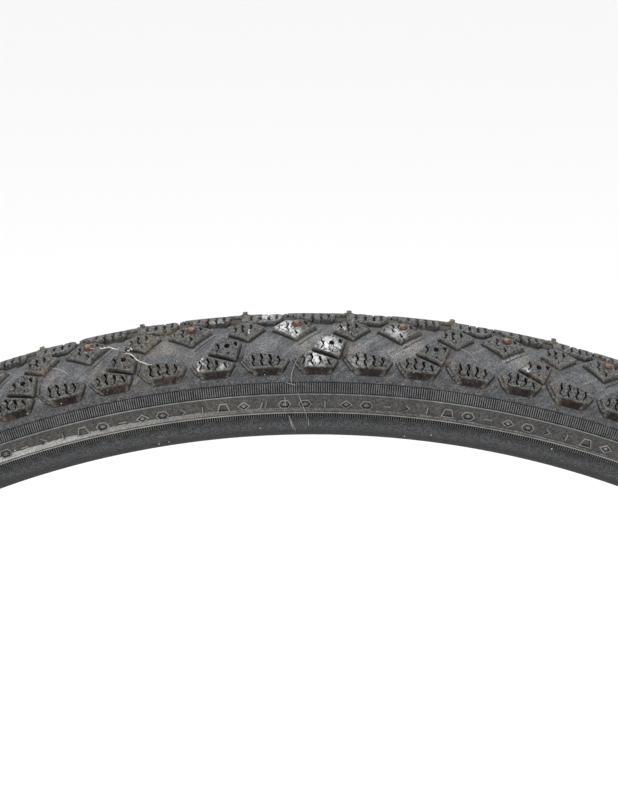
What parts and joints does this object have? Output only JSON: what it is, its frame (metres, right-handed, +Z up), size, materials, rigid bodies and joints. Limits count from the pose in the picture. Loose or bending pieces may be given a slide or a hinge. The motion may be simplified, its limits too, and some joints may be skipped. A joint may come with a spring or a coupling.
{
  "type": "bicycle tire",
  "caption": "Studded winter bicycle tire with siped knobs, raised sidewall band and wire beads, off the rim.",
  "frame": {"origin": "centre of the tire, on the wheel axis and midway between the two beads", "axes": "+Y along the wheel axis towards the left side, +Z up, +X the rolling direction at the top; the tire stands upright"},
  "size_m": [0.7026, 0.0418, 0.7026],
  "materials": {
    "tread_rubber": "dusty matte black rubber",
    "sidewall_rubber": "dull black rubber",
    "belt_fabric": "firm natural rubber strip",
    "casing_fabric": "rubberised cord fabric",
    "chafer_fabric": "rubber-coated woven strip",
    "bead_steel": "bronze-coated wire",
    "bead_rubber": "hard filler rubber",
    "stud_steel": "rusted steel",
    "pin_carbide": "worn sintered carbide"
  },
  "bodies": {
    "root": {"tread": "tread_rubber", "puncture_belt": "belt_fabric", "crown_ply": "casing_fabric", "carcass_ply": "casing_fabric", "sidewall_left": "sidewall_rubber", "sidewall_right": "sidewall_rubber", "chafer_left": "chafer_fabric", "chafer_right": "chafer_fabric", "bead_wires_left": "bead_steel", "bead_wires_right": "bead_steel", "bead_wrap_left": "bead_rubber", "bead_wrap_right": "bead_rubber", "stud_bodies_left": "stud_steel", "stud_bodies_right": "stud_steel", "stud_pins_left": "pin_carbide", "stud_pins_right": "pin_carbide"}
  },
  "joints": []
}
